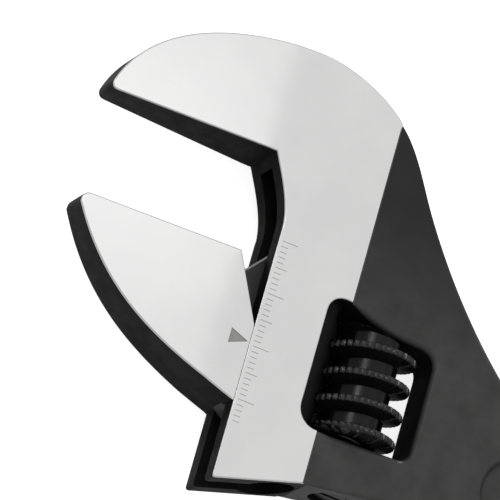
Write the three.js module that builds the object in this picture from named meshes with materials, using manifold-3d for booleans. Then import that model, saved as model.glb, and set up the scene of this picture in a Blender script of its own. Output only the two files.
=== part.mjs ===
import * as THREE from 'three';
import { mergeVertices } from 'three/addons/utils/BufferGeometryUtils.js';
import Module from 'manifold-3d';

// Adjustable wrench, 10 inch class, in millimetres.
// +Y runs along the slide, from the movable jaw to the fixed jaw. +X runs from the jaws to the handle.
// +Z is the thickness. The wrench lies flat: Z = 0 is the underside of the head.
// Outlines are drawn from the slide face (X = 0) and from the gripping face of the fixed jaw (Y = 0),
// then moved so that the origin lies in the middle of the neck.

const wasm = await Module();
wasm.setup();

// Driving dimensions
const HEAD_THICKNESS = 12;
const TIP_THICKNESS = 7;
const NECK_WIDTH = 16.3;
const SHOULDER_THICKNESS = 11;
const WINDOW_WALL_THICKNESS = 9.4;
const HANDLE_THICKNESS = 9;
const JAW_REACH = 36;
const JAW_OPENING = 19.5;
const CLOSED_GAP = 0.3;
const FULL_OPENING = 33.8;
const OVERALL_LENGTH = 255;
const HANDLE_ANGLE = -22.5;
const HANDLE_HALF_WIDTH = 11.3;
const HANDLE_END_RADIUS = 13;
const HANGING_HOLE_DIAMETER = 13;
const PANEL_DEPTH = 1.8;
const RACK_DIAMETER = 9;
const RACK_OFFSET = 12;
const WEB_THICKNESS = 4.4;
const WORM_DIAMETER = 17.7;
const WORM_PITCH = 5.1;
const WORM_LENGTH = 19.8;
const WORM_MIDDLE = -33.5;
const THREAD_DEPTH = 3;
const THREAD_ENGAGEMENT = 1.9;
const THREAD_PHASE = -32.3;
const THREAD_BASE = 3.4;
const THREAD_CREST = 1.1;
const NOTCHES_PER_TURN = 24;
const NOTCH_DEPTH = 0.4;
const PIN_DIAMETER = 4;
const PIN_TOP = -18.5;
const PIN_BOTTOM = -53.2;
const PIN_HEAD_RADIUS = 3.2;
const PIN_HEAD_LENGTH = 4;
const SPRING_LENGTH = 5.9;
const SPRING_RADIUS = 3.2;
const SPRING_WIRE = 0.8;
const SPRING_TURNS = 3.5;
const CLEARANCE = 0.3;

// Derived dimensions
const MID = HEAD_THICKNESS / 2;
const ORIGIN_X = NECK_WIDTH / 2;
const WORM_RADIUS = WORM_DIAMETER / 2;
const WORM_ROOT = WORM_RADIUS - THREAD_DEPTH;
const RACK_RADIUS = RACK_DIAMETER / 2;
const BORE_RADIUS = RACK_RADIUS + CLEARANCE;
const WORM_X = RACK_OFFSET + RACK_RADIUS + WORM_RADIUS - THREAD_ENGAGEMENT;
const WINDOW_LEFT = RACK_OFFSET + 0.1;
const WINDOW_RIGHT = WORM_X + WORM_RADIUS + 2.1;
const WINDOW_TOP = WORM_MIDDLE + WORM_LENGTH / 2 + 0.4;
const WINDOW_BOTTOM = WORM_MIDDLE - WORM_LENGTH / 2 - 0.4;
const CLOSE_TRAVEL = JAW_OPENING - CLOSED_GAP;
const OPEN_TRAVEL = FULL_OPENING - JAW_OPENING;
const RACK_TOP = -13;
const RACK_BOTTOM = -51.5;
const PIN_RADIUS = PIN_DIAMETER / 2;
const HANDLE_ORIGIN = new THREE.Vector2(WINDOW_RIGHT + 21.4, -42);
const HANDLE_TURN = HANDLE_ANGLE * Math.PI / 180;
const HANDLE_DIRECTION = new THREE.Vector2(Math.cos(HANDLE_TURN), Math.sin(HANDLE_TURN));
const HEAD_STATION = HANDLE_DIRECTION.dot(new THREE.Vector2(-JAW_REACH, 1.5).sub(HANDLE_ORIGIN));
const HANDLE_END = OVERALL_LENGTH + HEAD_STATION;
const EYE_STATION = HANDLE_END - HANDLE_END_RADIUS;

function toSolid(geometry) {
  const bare = geometry.clone();
  bare.deleteAttribute('normal');
  bare.deleteAttribute('uv');
  const merged = mergeVertices(bare, 1e-4);
  return new wasm.Manifold(new wasm.Mesh({
    numProp: 3,
    vertProperties: new Float32Array(merged.attributes.position.array),
    triVerts: new Uint32Array(merged.index.array),
  }));
}

function toGeometry(solid) {
  const mesh = solid.getMesh();
  const geometry = new THREE.BufferGeometry();
  geometry.setAttribute('position', new THREE.BufferAttribute(new Float32Array(mesh.vertProperties), 3));
  geometry.setIndex(new THREE.BufferAttribute(new Uint32Array(mesh.triVerts), 1));
  const flat = geometry.toNonIndexed();
  flat.computeVertexNormals();
  return flat;
}

function shapeOf(points) {
  return new THREE.Shape(points.map(([x, y]) => new THREE.Vector2(x, y)));
}

// A plate with an outline in X and Y, between two heights.
function plate(shape, low, high, curveSegments = 14) {
  const settings = { depth: high - low, bevelEnabled: false, curveSegments };
  const geometry = new THREE.ExtrudeGeometry(shape, settings);
  return toSolid(geometry.translate(0, 0, low));
}

// A block with a side profile in X and Z, between two values of Y.
function sideBlock(points, low, high) {
  const settings = { depth: high - low, bevelEnabled: false };
  const geometry = new THREE.ExtrudeGeometry(shapeOf(points), settings);
  return toSolid(geometry.rotateX(Math.PI / 2).translate(0, high, 0));
}

// A round bar along Y.
function bar(radius, low, high, x, segments = 40) {
  const geometry = new THREE.CylinderGeometry(radius, radius, high - low, segments);
  return toSolid(geometry.translate(x, (low + high) / 2, MID));
}

// A point in the handle's own directions: along its centreline, and across it.
function onHandle(along, across) {
  const side = new THREE.Vector2(-HANDLE_DIRECTION.y, HANDLE_DIRECTION.x);
  return HANDLE_ORIGIN.clone().addScaledVector(HANDLE_DIRECTION, along).addScaledVector(side, across);
}

// Straight flanks from a half width at one station, tangent to a round end at another.
function roundEnd(shape, start, halfStart, end, radius) {
  const lean = Math.asin((radius - halfStart) / (end - start));
  const centre = onHandle(end, 0);
  const upper = HANDLE_TURN + Math.PI / 2 + lean;
  const lower = HANDLE_TURN - Math.PI / 2 - lean;
  shape.absarc(centre.x, centre.y, radius, upper, lower, true);
}

// Top of the jaw's web: a slanted edge out of the jaw, then level to the rack.
const WEB_TOP = [[-8, -22.1], [-4, -22.1], [3.7, RACK_TOP], [RACK_OFFSET, RACK_TOP]];

// The waist behind the head and the handle, from the back of the head round to its lower edge.
function drawHandle(shape) {
  const upper = onHandle(4.5, HANDLE_HALF_WIDTH);
  const lower = onHandle(11, -HANDLE_HALF_WIDTH);
  const upperLead = onHandle(-10, HANDLE_HALF_WIDTH);
  const lowerLead = onHandle(0, -HANDLE_HALF_WIDTH);
  shape.bezierCurveTo(34.1, -10.7, upperLead.x, upperLead.y, upper.x, upper.y);
  roundEnd(shape, 4.5, HANDLE_HALF_WIDTH, EYE_STATION, HANDLE_END_RADIUS);
  shape.lineTo(lower.x, lower.y);
  shape.bezierCurveTo(lowerLead.x, lowerLead.y, 37.7, -51.5, 28.8, -52.9);
}

function bodyOutline() {
  const shape = new THREE.Shape();
  shape.moveTo(-4.7, 0);
  shape.lineTo(-JAW_REACH + 1.4, 0);
  shape.quadraticCurveTo(-JAW_REACH, 0, -JAW_REACH, 1.4);
  shape.bezierCurveTo(4.5 - JAW_REACH, 16.8, -12.4, 20.1, -1.5, 20.3);
  shape.bezierCurveTo(4, 20.4, 11.3, 18.2, NECK_WIDTH + 0.8, 13.45);
  shape.bezierCurveTo(20.5, 10.6, 23.2, 5.4, 25.7, 1.7);
  drawHandle(shape);
  shape.lineTo(NECK_WIDTH + 0.2, -54.8);
  shape.lineTo(0.6, -59.8);
  shape.lineTo(0, -59.2);
  shape.lineTo(0, -12.5);
  shape.bezierCurveTo(-0.2, -8, -2.9, -3.5, -4.7, 0);
  return shape;
}

function windowOutline() {
  const shape = new THREE.Shape();
  shape.moveTo(WINDOW_LEFT, WINDOW_BOTTOM + 2.6);
  shape.lineTo(WINDOW_LEFT, WINDOW_TOP - 0.4);
  shape.quadraticCurveTo(WINDOW_LEFT, WINDOW_TOP + 2.6, WINDOW_LEFT + 3.2, WINDOW_TOP + 2.6);
  shape.bezierCurveTo(17.5, WINDOW_TOP + 2.6, 20.5, WINDOW_TOP, WORM_X + 4, WINDOW_TOP);
  shape.lineTo(WINDOW_RIGHT - 3, WINDOW_TOP);
  shape.absarc(WINDOW_RIGHT - 3, WINDOW_TOP - 3, 3, Math.PI / 2, 0, true);
  shape.lineTo(WINDOW_RIGHT, WINDOW_BOTTOM + 2.2);
  shape.absarc(WINDOW_RIGHT - 2.2, WINDOW_BOTTOM + 2.2, 2.2, 0, -Math.PI / 2, true);
  shape.lineTo(WINDOW_LEFT + 3.7, WINDOW_BOTTOM - 1.1);
  shape.absarc(WINDOW_LEFT + 3.7, WINDOW_BOTTOM + 2.6, 3.7, -Math.PI / 2, -Math.PI, true);
  return shape;
}

function panelOutline() {
  const shape = new THREE.Shape();
  const near = onHandle(0, 0);
  const radius = HANDLE_HALF_WIDTH - 3.9;
  shape.absarc(near.x, near.y, radius, HANDLE_TURN - Math.PI / 2, HANDLE_TURN + Math.PI / 2, true);
  roundEnd(shape, 0, radius, EYE_STATION - 22, HANDLE_END_RADIUS - 4.4);
  return shape;
}

// Thickness across the head: jaws that taper to their tips, a small step beside the neck, a lean handle.
function thicknessProfile(extra) {
  const stations = [
    [-JAW_REACH - 1, TIP_THICKNESS - 0.2],
    [-6.4, HEAD_THICKNESS],
    [NECK_WIDTH - 0.2, HEAD_THICKNESS],
    [NECK_WIDTH + 0.2, SHOULDER_THICKNESS],
    [WINDOW_RIGHT, WINDOW_WALL_THICKNESS],
    [WINDOW_RIGHT + 16, HANDLE_THICKNESS],
    [OVERALL_LENGTH, HANDLE_THICKNESS],
  ];
  const top = stations.map(([x, thickness]) => [x, MID + thickness / 2 + extra]);
  const bottom = stations.map(([x, thickness]) => [x, MID - thickness / 2 - extra]);
  return top.concat(bottom.reverse());
}

// The handle's long edges are broken by a soft bevel.
function handleEdgeLimit() {
  const bevel = 1.6;
  const outline = new THREE.Shape();
  outline.moveTo(5, 5);
  outline.lineTo(25.7, 1.7);
  drawHandle(outline);
  outline.lineTo(5, -56);
  const geometry = new THREE.ExtrudeGeometry(outline, {
    depth: HANDLE_THICKNESS - 2 * bevel,
    bevelThickness: bevel,
    bevelSize: bevel,
    bevelOffset: -bevel,
    bevelSegments: 3,
    curveSegments: 14,
  });
  const rounded = toSolid(geometry.translate(0, 0, MID - HANDLE_THICKNESS / 2 + bevel));
  const start = onHandle(-2, 0);
  const reach = OVERALL_LENGTH;
  const headSide = new THREE.BoxGeometry(reach, reach, 40);
  headSide.translate(-reach / 2, 0, 0);
  headSide.rotateZ(HANDLE_TURN);
  headSide.translate(start.x, start.y, MID);
  return rounded.add(toSolid(headSide));
}

function slotSolid() {
  const lift = CLOSE_TRAVEL + 0.5;
  const rim = WEB_TOP.map(([x, y]) => [x, y + lift]);
  rim[0][0] = -12;
  const outline = shapeOf(rim.concat([[RACK_OFFSET, -64], [-12, -64]]));
  const half = WEB_THICKNESS / 2 + CLEARANCE;
  return plate(outline, MID - half, MID + half);
}

function makeBody() {
  const outline = bodyOutline();
  let solid = plate(outline, 0, HEAD_THICKNESS);
  solid = solid.intersect(sideBlock(thicknessProfile(0), -OVERALL_LENGTH, 60));
  solid = solid.intersect(handleEdgeLimit());
  solid = solid.subtract(plate(windowOutline(), -1, HEAD_THICKNESS + 1, 10));
  solid = solid.subtract(bar(BORE_RADIUS, -64, RACK_TOP + CLOSE_TRAVEL + 0.8, RACK_OFFSET));
  solid = solid.subtract(slotSolid());
  solid = solid.subtract(bar(PIN_RADIUS + CLEARANCE, PIN_BOTTOM + 1, PIN_TOP + 0.4, WORM_X, 24));
  const headSeat = PIN_BOTTOM + PIN_HEAD_LENGTH + CLEARANCE;
  solid = solid.subtract(bar(PIN_HEAD_RADIUS + CLEARANCE, -58, headSeat, WORM_X, 32));
  const high = MID + HANDLE_THICKNESS / 2 - PANEL_DEPTH;
  const low = MID - HANDLE_THICKNESS / 2 + PANEL_DEPTH;
  solid = solid.subtract(plate(panelOutline(), high, HEAD_THICKNESS + 1, 16));
  solid = solid.subtract(plate(panelOutline(), -1, low, 16));
  const eye = onHandle(EYE_STATION, 0);
  const hole = new THREE.CylinderGeometry(HANGING_HOLE_DIAMETER / 2, HANGING_HOLE_DIAMETER / 2, 30, 36);
  solid = solid.subtract(toSolid(hole.rotateX(Math.PI / 2).translate(eye.x, eye.y, MID)));
  return solid;
}

// One run of the worm's thread as a closed sweep. Angle 0 is +Z and grows towards +X, and the thread
// climbs by one pitch each turn. Notches across the crest give the finger grip.
function threadRun(startTurn, endTurn, stepsPerTurn, inner, outer, baseWidth, crestWidth, notch) {
  const steps = Math.round((endTurn - startTurn) * stepsPerTurn);
  const positions = [];
  const index = [];
  for (let i = 0; i <= steps; i += 1) {
    const turn = startTurn + i / stepsPerTurn;
    const angle = turn * 2 * Math.PI;
    const y = THREAD_PHASE + turn * WORM_PITCH;
    const crest = outer - (i % 2) * notch;
    const section = [
      [inner, -baseWidth / 2],
      [crest, -crestWidth / 2],
      [crest, crestWidth / 2],
      [inner, baseWidth / 2],
    ];
    for (const [radius, offset] of section) {
      positions.push(WORM_X + radius * Math.sin(angle), y + offset, MID + radius * Math.cos(angle));
    }
  }
  for (let i = 0; i < steps; i += 1) {
    for (let j = 0; j < 4; j += 1) {
      const a = i * 4 + j;
      const b = i * 4 + (j + 1) % 4;
      index.push(a, a + 4, b, b, a + 4, b + 4);
    }
  }
  const last = steps * 4;
  index.push(0, 1, 2, 0, 2, 3);
  index.push(last, last + 2, last + 1, last, last + 3, last + 2);
  const geometry = new THREE.BufferGeometry();
  geometry.setAttribute('position', new THREE.Float32BufferAttribute(positions, 3));
  geometry.setIndex(index);
  return toSolid(geometry);
}

function makeWorm() {
  const low = WORM_MIDDLE - WORM_LENGTH / 2;
  const high = WORM_MIDDLE + WORM_LENGTH / 2;
  const before = (low - THREAD_PHASE) / WORM_PITCH - 0.5;
  const after = (high - THREAD_PHASE) / WORM_PITCH + 0.5;
  const start = Math.round(before * NOTCHES_PER_TURN) / NOTCHES_PER_TURN;
  const end = Math.round(after * NOTCHES_PER_TURN) / NOTCHES_PER_TURN;
  const steps = NOTCHES_PER_TURN * 2;
  const inner = WORM_ROOT - 0.6;
  const thread = threadRun(start, end, steps, inner, WORM_RADIUS, THREAD_BASE, THREAD_CREST, NOTCH_DEPTH);
  const core = bar(WORM_ROOT, low, high, WORM_X, 48);
  const limit = new THREE.LatheGeometry([
    new THREE.Vector2(0, low),
    new THREE.Vector2(WORM_RADIUS - 0.8, low),
    new THREE.Vector2(WORM_RADIUS + 0.2, low + 1),
    new THREE.Vector2(WORM_RADIUS + 0.2, high - 1),
    new THREE.Vector2(WORM_RADIUS - 0.8, high),
    new THREE.Vector2(0, high),
  ], 48).translate(WORM_X, 0, MID);
  let solid = core.add(thread).intersect(toSolid(limit));
  solid = solid.subtract(bar(PIN_RADIUS + CLEARANCE, low - 1, high + 1, WORM_X, 24));
  const pocket = SPRING_RADIUS + SPRING_WIRE / 2 + 0.6;
  return solid.subtract(bar(pocket, low - 1, low + SPRING_LENGTH - 0.1, WORM_X, 32));
}

function jawOutline() {
  const shape = new THREE.Shape();
  const tip = -JAW_REACH + 0.4;
  const top = -JAW_OPENING;
  shape.moveTo(-6, top);
  shape.lineTo(-CLEARANCE, top - 11.5);
  shape.lineTo(-CLEARANCE, -45.6);
  shape.bezierCurveTo(-14.2, -41.2, tip + 8.8, -36.9, tip, top - 2);
  shape.quadraticCurveTo(tip - 0.2, top, tip + 1.6, top);
  return shape;
}

function makeJaw() {
  let solid = plate(jawOutline(), 0, HEAD_THICKNESS);
  solid = solid.intersect(sideBlock(thicknessProfile(0), -100, 20));
  const half = WEB_THICKNESS / 2;
  const webFoot = [[RACK_OFFSET, RACK_BOTTOM], [8, RACK_BOTTOM], [-1.5, -44.8], [-8, -40]];
  solid = solid.add(plate(shapeOf(WEB_TOP.concat(webFoot)), MID - half, MID + half));
  solid = solid.add(bar(RACK_RADIUS, RACK_BOTTOM, RACK_TOP, RACK_OFFSET));
  const gap = 0.3;
  const first = Math.floor((RACK_BOTTOM - THREAD_PHASE) / WORM_PITCH) - 1;
  const last = Math.ceil((RACK_TOP - THREAD_PHASE) / WORM_PITCH) + 1;
  for (let turn = first; turn <= last; turn += 1) {
    const widths = [THREAD_BASE + 2 * gap, THREAD_CREST + 2 * gap];
    const cut = threadRun(turn + 0.625, turn + 0.875, 48, WORM_ROOT - 0.6, WORM_RADIUS + gap, ...widths, 0);
    solid = solid.subtract(cut);
  }
  return solid;
}

function makePin() {
  const profile = [
    [0, PIN_BOTTOM],
    [PIN_HEAD_RADIUS - 0.4, PIN_BOTTOM],
    [PIN_HEAD_RADIUS, PIN_BOTTOM + 0.4],
    [PIN_HEAD_RADIUS, PIN_BOTTOM + PIN_HEAD_LENGTH],
    [PIN_RADIUS, PIN_BOTTOM + PIN_HEAD_LENGTH],
    [PIN_RADIUS, PIN_TOP - 0.6],
    [PIN_RADIUS - 0.6, PIN_TOP],
    [0, PIN_TOP],
  ];
  const points = profile.map(([radius, y]) => new THREE.Vector2(radius, y));
  const shank = toSolid(new THREE.LatheGeometry(points, 24).translate(WORM_X, 0, MID));
  const slot = new THREE.BoxGeometry(9, 2.4, 1).translate(WORM_X, PIN_BOTTOM, MID);
  return shank.subtract(toSolid(slot));
}

class Coil extends THREE.Curve {
  getPoint(t, target = new THREE.Vector3()) {
    const angle = t * 2 * Math.PI * SPRING_TURNS;
    const low = WINDOW_BOTTOM - 0.05 + SPRING_WIRE / 2;
    const y = low + t * (SPRING_LENGTH - SPRING_WIRE);
    return target.set(WORM_X + SPRING_RADIUS * Math.sin(angle), y, MID + SPRING_RADIUS * Math.cos(angle));
  }
}

function makeSpring() {
  const wire = new THREE.Shape();
  wire.absarc(0, 0, SPRING_WIRE / 2, 0, 2 * Math.PI, false);
  const settings = { extrudePath: new Coil(), steps: 14 * SPRING_TURNS, curveSegments: 8 };
  return toSolid(new THREE.ExtrudeGeometry(wire, settings));
}

const BLACK_STEEL = { color: 0x3a393b, roughness: 0.5, metalness: 0.75 };
const POLISHED_STEEL = { color: 0xd9d9d6, roughness: 0.28, metalness: 0.95 };
const DARK_STEEL = { color: 0x2a2a2c, roughness: 0.45, metalness: 0.8 };
const PLAIN_STEEL = { color: 0x8d8f91, roughness: 0.4, metalness: 0.9 };
const SPRING_STEEL = { color: 0xa7a9ab, roughness: 0.35, metalness: 0.95 };

const wrench = new THREE.Group();

function addNode(name, solid, look) {
  const geometry = toGeometry(solid).translate(-ORIGIN_X, 0, 0);
  const mesh = new THREE.Mesh(geometry, new THREE.MeshStandardMaterial(look));
  mesh.name = name;
  wrench.add(mesh);
}

addNode('wrench_body', makeBody(), BLACK_STEEL);
addNode('movable_jaw', makeJaw(), POLISHED_STEEL);
addNode('adjusting_worm', makeWorm(), DARK_STEEL);
addNode('worm_pin', makePin(), PLAIN_STEEL);
addNode('worm_spring', makeSpring(), SPRING_STEEL);

export default wrench;
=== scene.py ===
import math

import bmesh
import bpy
from mathutils import Matrix, Vector
from mathutils.geometry import delaunay_2d_cdt
from mathutils.kdtree import KDTree


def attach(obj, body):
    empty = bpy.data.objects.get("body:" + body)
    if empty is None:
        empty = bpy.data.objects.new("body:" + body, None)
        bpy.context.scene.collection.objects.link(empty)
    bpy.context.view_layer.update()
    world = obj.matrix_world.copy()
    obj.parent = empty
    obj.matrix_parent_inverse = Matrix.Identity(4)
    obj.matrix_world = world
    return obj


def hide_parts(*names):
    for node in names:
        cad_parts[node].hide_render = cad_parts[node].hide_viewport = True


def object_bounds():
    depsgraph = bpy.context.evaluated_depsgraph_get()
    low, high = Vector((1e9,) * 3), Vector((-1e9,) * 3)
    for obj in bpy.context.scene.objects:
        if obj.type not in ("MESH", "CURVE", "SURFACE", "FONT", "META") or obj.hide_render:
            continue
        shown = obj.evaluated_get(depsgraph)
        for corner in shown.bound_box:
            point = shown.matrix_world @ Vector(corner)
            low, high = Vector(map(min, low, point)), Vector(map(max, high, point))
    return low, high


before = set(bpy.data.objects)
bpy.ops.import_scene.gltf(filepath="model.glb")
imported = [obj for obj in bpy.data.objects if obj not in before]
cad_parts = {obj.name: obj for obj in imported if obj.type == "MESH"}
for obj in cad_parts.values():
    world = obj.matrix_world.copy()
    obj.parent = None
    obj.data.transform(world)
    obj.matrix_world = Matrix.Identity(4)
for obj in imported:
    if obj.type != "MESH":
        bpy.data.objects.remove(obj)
cad_low, cad_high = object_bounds()

# Sizes in millimetres, the same as in the frame. Outlines are drawn from the slide face (X = 0) and
# from the gripping face of the fixed jaw (Y = 0), and shifted so that the origin is mid-neck.
MM = 0.001
NECK_MIDDLE = 8.15
MID = 6.0
JAW_REACH = 36.0
OPENING = 19.5
NECK_WIDTH = 16.3
STEP_LOW = NECK_WIDTH - 0.2
STEP_HIGH = NECK_WIDTH + 0.2
RACK_X = 12.0
RACK_RADIUS = 4.5
WEB_HALF = 2.2
CLEARANCE = 0.3
SLIDE_GAP = 0.05
WORM_X = 23.45
WORM_RADIUS = 8.85
WORM_ROOT = 5.85
WORM_LOW = -43.4
WORM_HIGH = -23.6
PITCH = 5.1
THREAD_PHASE = -32.3
WINDOW_LEFT = 12.1
WINDOW_RIGHT = 34.4
WINDOW_TOP = -23.2
WINDOW_BOTTOM = -43.8
HANDLE_ORIGIN = Vector((55.8, -42.0))
HANDLE_TURN = math.radians(-22.5)
HANDLE_HALF = 11.3
EYE_STATION = 140.54
END_RADIUS = 12.98
EYE_RADIUS = 6.5
RACK_TOP = -13.0
RACK_BOTTOM = -51.5
PIN_TOP = -18.5
PIN_BOTTOM = -53.2
PIN_RADIUS = 2.0
PIN_HEAD_RADIUS = 3.2
PIN_HEAD_TOP = -49.2
SPRING_SEAT = WORM_LOW - 0.05
THREAD_DEPTH = 3.4
THREAD_BASE = 3.5
THREAD_CREST = 1.0

# Top of the jaw's web: level in the jaw, slanted, then level to the rack.
WEB_TOP = [(-8, -22.1), (-4, -22.1), (3.7, RACK_TOP), (RACK_X, RACK_TOP)]

# The sunk panel's brim, as distance inwards and depth.
PANEL_PROFILE = [(-0.35, 0), (0, 0.06), (0.25, 0.25), (0.7, 1.2), (0.95, 1.6), (1.3, 1.78), (1.7, 1.8)]

# The etched triangle on the jaw that points at the scale.
POINTER = [(-3.9, -33.4), (-3.9, -36.2), (-0.4, -34.7)]

ROUND_STEPS = 6
FILL_SPACING = 2.5

# The lens stands 1.2 m away and takes in a width of 86.2 mm there.
LENS_DISTANCE = 1.2
VIEW_WIDTH = 86.2
FLOOR_GLOW = 0.8

# Places in BODY_FINISHES
SKIN, EDGE, BRIGHT, MARK_AND_GLINT = 0, 1, 2, 3


def smooth(x, low, high):
    t = min(max((x - low) / (high - low), 0.0), 1.0)
    return t * t * (3 - 2 * t)


def on_handle(along, across):
    c, s = math.cos(HANDLE_TURN), math.sin(HANDLE_TURN)
    return Vector((HANDLE_ORIGIN.x + along * c - across * s, HANDLE_ORIGIN.y + along * s + across * c))


class Outline:
    """A closed line drawn with straight runs, curves and arcs, as evenly spaced points."""

    def __init__(self, x, y, spacing=0.7):
        self.points = [Vector((x, y))]
        self.spacing = spacing

    def line(self, x, y):
        start, end = self.points[-1], Vector((x, y))
        steps = max(1, round((end - start).length / self.spacing))
        for i in range(1, steps + 1):
            self.points.append(start.lerp(end, i / steps))

    def curve(self, ax, ay, bx, by, x, y, steps=None):
        p, a, b, q = self.points[-1], Vector((ax, ay)), Vector((bx, by)), Vector((x, y))
        if steps is None:
            steps = max(4, round(((a - p).length + (b - a).length + (q - b).length) / self.spacing))
        for i in range(1, steps + 1):
            t = i / steps
            u = 1 - t
            self.points.append(u**3 * p + 3 * u * u * t * a + 3 * u * t * t * b + t**3 * q)

    def arc(self, x, y, radius, start, end):
        steps = max(6, round(abs(end - start) * radius / self.spacing))
        for i in range(0, steps + 1):
            angle = start + (end - start) * i / steps
            point = Vector((x + radius * math.cos(angle), y + radius * math.sin(angle)))
            if (point - self.points[-1]).length > 1e-4:
                self.points.append(point)

    def closed(self):
        if (self.points[0] - self.points[-1]).length < 1e-4:
            self.points.pop()
        area = sum(a.cross(b) for a, b in zip(self.points, self.points[1:] + self.points[:1]))
        return self.points if area > 0 else self.points[::-1]


def taper(outline, start, half_start, end, radius):
    """Straight flanks from a half width, tangent to the round end."""
    lean = math.asin((radius - half_start) / (end - start))
    centre = on_handle(end, 0)
    upper = HANDLE_TURN + math.pi / 2 + lean
    lower = HANDLE_TURN - math.pi / 2 - lean
    outline.line(centre.x + radius * math.cos(upper), centre.y + radius * math.sin(upper))
    outline.arc(centre.x, centre.y, radius, upper, lower)


def body_outline():
    upper, lower = on_handle(4.5, HANDLE_HALF), on_handle(11, -HANDLE_HALF)
    upper_lead, lower_lead = on_handle(-10, HANDLE_HALF), on_handle(0, -HANDLE_HALF)
    line = Outline(-4.7, 0)
    line.line(-JAW_REACH + 1.4, 0)
    line.curve(-JAW_REACH + 0.4, 0, -JAW_REACH, 0.4, -JAW_REACH, 1.4, 8)
    line.curve(4.5 - JAW_REACH, 16.8, -12.4, 20.08, -1.5, 20.28)
    line.curve(4, 20.37, 11, 18.3, STEP_LOW, 14.15)
    line.line(STEP_HIGH, 13.87)
    line.curve(20.4, 10.8, 23.2, 5.4, 25.7, 1.7)
    line.curve(34.1, -10.7, upper_lead.x, upper_lead.y, upper.x, upper.y)
    taper(line, 4.5, HANDLE_HALF, EYE_STATION, END_RADIUS)
    line.line(lower.x, lower.y)
    line.curve(lower_lead.x, lower_lead.y, 37.7, -51.5, 28.8, -52.9)
    line.line(STEP_HIGH, -54.8)
    line.line(STEP_LOW, -54.93)
    line.line(0.6, -59.8)
    line.curve(0.2, -59.9, 0, -59.7, 0, -59.2, 4)
    line.line(0, -12.5)
    line.curve(-0.2, -8, -2.9, -3.5, -4.7, 0)
    return line.closed()


def window_outline():
    line = Outline(WINDOW_LEFT, WINDOW_BOTTOM + 2.6, 0.5)
    line.line(WINDOW_LEFT, WINDOW_TOP - 0.4)
    corner = (WINDOW_LEFT + 3.2, WINDOW_TOP + 2.6)
    line.curve(WINDOW_LEFT, WINDOW_TOP + 1.5, WINDOW_LEFT + 1.3, WINDOW_TOP + 2.6, *corner, 10)
    line.line(STEP_LOW, WINDOW_TOP + 2.55)
    line.line(STEP_HIGH, WINDOW_TOP + 2.45)
    line.curve(18.6, WINDOW_TOP + 1.9, 21.3, WINDOW_TOP, WORM_X + 4, WINDOW_TOP)
    line.line(WINDOW_RIGHT - 3, WINDOW_TOP)
    line.arc(WINDOW_RIGHT - 3, WINDOW_TOP - 3, 3, math.pi / 2, 0)
    line.line(WINDOW_RIGHT, WINDOW_BOTTOM + 2.2)
    line.arc(WINDOW_RIGHT - 2.2, WINDOW_BOTTOM + 2.2, 2.2, 0, -math.pi / 2)
    line.line(STEP_HIGH, WINDOW_BOTTOM - 1.06)
    line.line(STEP_LOW, WINDOW_BOTTOM - 1.08)
    line.line(WINDOW_LEFT + 3.7, WINDOW_BOTTOM - 1.1)
    line.arc(WINDOW_LEFT + 3.7, WINDOW_BOTTOM + 2.6, 3.7, -math.pi / 2, -math.pi)
    return line.closed()


def eye_outline():
    centre = on_handle(EYE_STATION, 0)
    line = Outline(centre.x + EYE_RADIUS, centre.y, 0.5)
    line.arc(centre.x, centre.y, EYE_RADIUS, 0, 2 * math.pi)
    return line.closed()


def panel_outline():
    near, radius = on_handle(0, 0), HANDLE_HALF - 3.9
    low, high = HANDLE_TURN - math.pi / 2, HANDLE_TURN + math.pi / 2
    line = Outline(near.x + radius * math.cos(low), near.y + radius * math.sin(low))
    line.arc(near.x, near.y, radius, low, low - math.pi)
    taper(line, 0, radius, EYE_STATION - 22, END_RADIUS - 4.4)
    return line.closed()


def jaw_outline():
    tip, top = -JAW_REACH + 0.4, -OPENING
    line = Outline(-6, top)
    line.line(-0.5, top - 10.9)
    line.curve(-0.2, top - 11.5, -SLIDE_GAP, top - 12, -SLIDE_GAP, top - 12.9, 4)
    line.line(-SLIDE_GAP, -45.6)
    line.curve(-14.2, -41.2, tip + 8.8, -36.9, tip, top - 2)
    line.curve(tip - 0.1, top - 0.6, tip + 0.4, top, tip + 1.6, top, 8)
    line.line(-6, top)
    return line.closed()



def half_thickness(x):
    """Half the forging's thickness: jaws that taper to their tips, the ground neck, a lower handle."""
    if x < -6.4:
        return 6 - 2.5 * (-6.4 - x) / 29.3
    if x <= STEP_LOW:
        return 6.0
    if x <= STEP_HIGH:
        return 6 - 0.5 * (x - STEP_LOW) / (STEP_HIGH - STEP_LOW)
    waist = 0.8 * smooth(x, STEP_HIGH, WINDOW_RIGHT + 4)
    return 5.5 - waist - 0.2 * smooth(x, WINDOW_RIGHT, WINDOW_RIGHT + 16)


def body_rounding(point, inner):
    """Edge rounding: crisp on the ground head, soft on the forged handle."""
    if inner:
        return 0.3 + 0.6 * smooth(point.x, STEP_HIGH, STEP_HIGH + 3)
    if point.x < 0.05 and point.y < -13:
        return 0.1
    return 0.26 + 1.84 * smooth(point.x, STEP_HIGH + 1, WINDOW_RIGHT + 12)


def inward(points, hole, pinned=()):
    """For each point of a closed line, the step into the material for a rim of width one."""
    steps = []
    count = len(points)
    for i, point in enumerate(points):
        a = (point - points[i - 1]).normalized()
        b = (points[(i + 1) % count] - point).normalized()
        side = Vector((-a.y - b.y, a.x + b.x)).normalized()
        side /= max(0.45, side.dot(Vector((-a.y, a.x))))
        if hole:
            side = -side
        if any(abs(point.x - x) < 1e-4 for x in pinned):
            side = Vector((0, side.length / side.y))
        steps.append(side)
    return steps


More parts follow.
